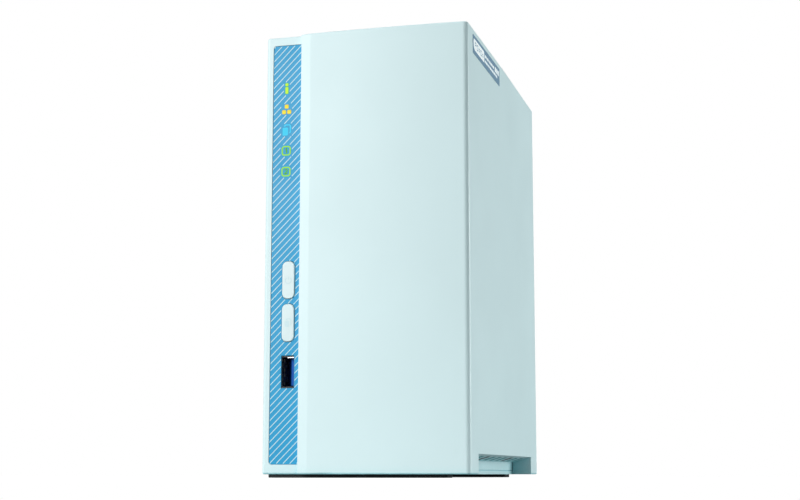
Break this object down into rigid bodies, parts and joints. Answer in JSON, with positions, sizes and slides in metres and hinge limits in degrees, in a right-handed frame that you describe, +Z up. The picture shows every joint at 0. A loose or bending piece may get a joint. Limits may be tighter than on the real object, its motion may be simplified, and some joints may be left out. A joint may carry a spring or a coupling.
{
  "type": "network attached storage unit",
  "caption": "Upright desktop storage unit with a slim pale case, blue indicator strip with buttons and front socket, drawing-off cover, twin drives, rear fan and ports.",
  "frame": {"origin": "on the table, under the centre of the unit's bounding box", "axes": "+X to the unit's right seen from the front, +Y to the rear, +Z up; the front faces -Y"},
  "size_m": [0.0902, 0.1562, 0.1886],
  "materials": {
    "shell_plastic": "satin pale aqua ABS",
    "overlay_film": "printed blue film",
    "button_plastic": "pale aqua",
    "black_rubber": "matt",
    "black_plastic": "fine texture",
    "rear_plastic": "fine texture",
    "blue_insert": "satin",
    "white_plastic": "satin",
    "clear_plastic": "translucent",
    "led": "emissive when on",
    "pcb_green": "solder mask",
    "chip_black": "moulded epoxy",
    "plated_steel": "zinc plated",
    "bright_steel": "nickel plated",
    "capacitor_can": "satin",
    "heatsink_alloy": "anodised",
    "drive_alloy": "cast, dark",
    "drive_cover_steel": "brushed",
    "bronze": "sintered",
    "copper_winding": "enamelled copper",
    "gold_contact": "gold flashed",
    "ferrite": "sintered",
    "label_film": "printed film"
  },
  "bodies": {
    "chassis": {"base_shell": "shell_plastic", "rear_panel": "rear_plastic", "fan_grille": "plated_steel", "foot_front": "black_rubber", "foot_rear": "black_rubber", "overlay": "overlay_film", "tact_switches": "black_plastic", "light_pipe": "clear_plastic", "indicator_leds": "led", "main_board": "pcb_green", "board_screws": "plated_steel", "soc_chip": "chip_black", "soc_heatsink": "heatsink_alloy", "memory_chips": "chip_black", "capacitors": "capacitor_can", "inductors": "ferrite", "battery_holder": "black_plastic", "coin_cell": "bright_steel", "usb_front_shell": "bright_steel", "usb_front_insert": "blue_insert", "usb_rear_shells": "bright_steel", "usb_rear_inserts": "black_plastic", "lan_jack": "black_plastic", "lan_contacts": "gold_contact", "dc_jack": "black_plastic", "dc_pin": "bright_steel", "fan_frame": "black_plastic", "fan_bearing": "bronze", "fan_stator": "copper_winding", "fan_screws": "plated_steel", "threaded_inserts": "gold_contact", "cage_floor": "plated_steel", "cage_front_wall": "plated_steel", "cage_rear_wall": "plated_steel", "cage_screws": "plated_steel", "backplane": "pcb_green", "sata_sockets": "black_plastic", "board_sockets": "white_plastic", "fan_lead": "black_plastic"},
    "cover_body": {"cover": "shell_plastic", "side_label": "label_film"},
    "power_button": {"power_button_cap": "button_plastic", "power_switch_plunger": "white_plastic"},
    "copy_button": {"copy_button_cap": "button_plastic", "copy_switch_plunger": "white_plastic"},
    "reset_button": {"reset_plunger": "black_plastic"},
    "fan_wheel": {"fan_rotor": "black_plastic", "fan_shaft": "bright_steel"},
    "lower_thumbscrew": {"thumbscrew_lower": "bright_steel"},
    "upper_thumbscrew": {"thumbscrew_upper": "bright_steel"},
    "drive_1": {"drive_1_body": "drive_alloy", "drive_1_lid": "drive_cover_steel", "drive_1_board": "pcb_green", "drive_tray_1": "black_plastic", "tray_1_screws": "plated_steel"},
    "drive_2": {"drive_2_body": "drive_alloy", "drive_2_lid": "drive_cover_steel", "drive_2_board": "pcb_green", "drive_tray_2": "black_plastic", "tray_2_screws": "plated_steel"}
  },
  "joints": [
    {"name": "cover_slide", "type": "slide", "parent": "chassis", "child": "cover_body", "axis": [1, 0, 0], "range_m": [0, 0.1]},
    {"name": "power_button_press", "type": "slide", "parent": "chassis", "child": "power_button", "axis": [0, 1, 0], "range_m": [0, 0.0007], "stiffness_N_per_m": 400},
    {"name": "copy_button_press", "type": "slide", "parent": "chassis", "child": "copy_button", "axis": [0, 1, 0], "range_m": [0, 0.0007], "stiffness_N_per_m": 400},
    {"name": "reset_button_press", "type": "slide", "parent": "chassis", "child": "reset_button", "axis": [0, -1, 0], "range_m": [0, 0.0005], "stiffness_N_per_m": 400},
    {"name": "fan_spin", "type": "hinge", "parent": "chassis", "child": "fan_wheel", "pos_m": [0.0015, 0.0574, 0.14], "axis": [0, 1, 0], "continuous": true},
    {"name": "lower_thumbscrew_turn", "type": "hinge", "parent": "chassis", "child": "lower_thumbscrew", "pos_m": [0.0373, 0.0725, 0.022], "axis": [0, 1, 0], "continuous": true},
    {"name": "upper_thumbscrew_turn", "type": "hinge", "parent": "chassis", "child": "upper_thumbscrew", "pos_m": [0.0373, 0.0725, 0.09], "axis": [0, 1, 0], "continuous": true},
    {"name": "drive_1_lift", "type": "slide", "parent": "chassis", "child": "drive_1", "axis": [0, 0, 1], "range_m": [0, 0.011]},
    {"name": "drive_2_lift", "type": "slide", "parent": "chassis", "child": "drive_2", "axis": [0, 0, 1], "range_m": [0, 0.011]}
  ]
}
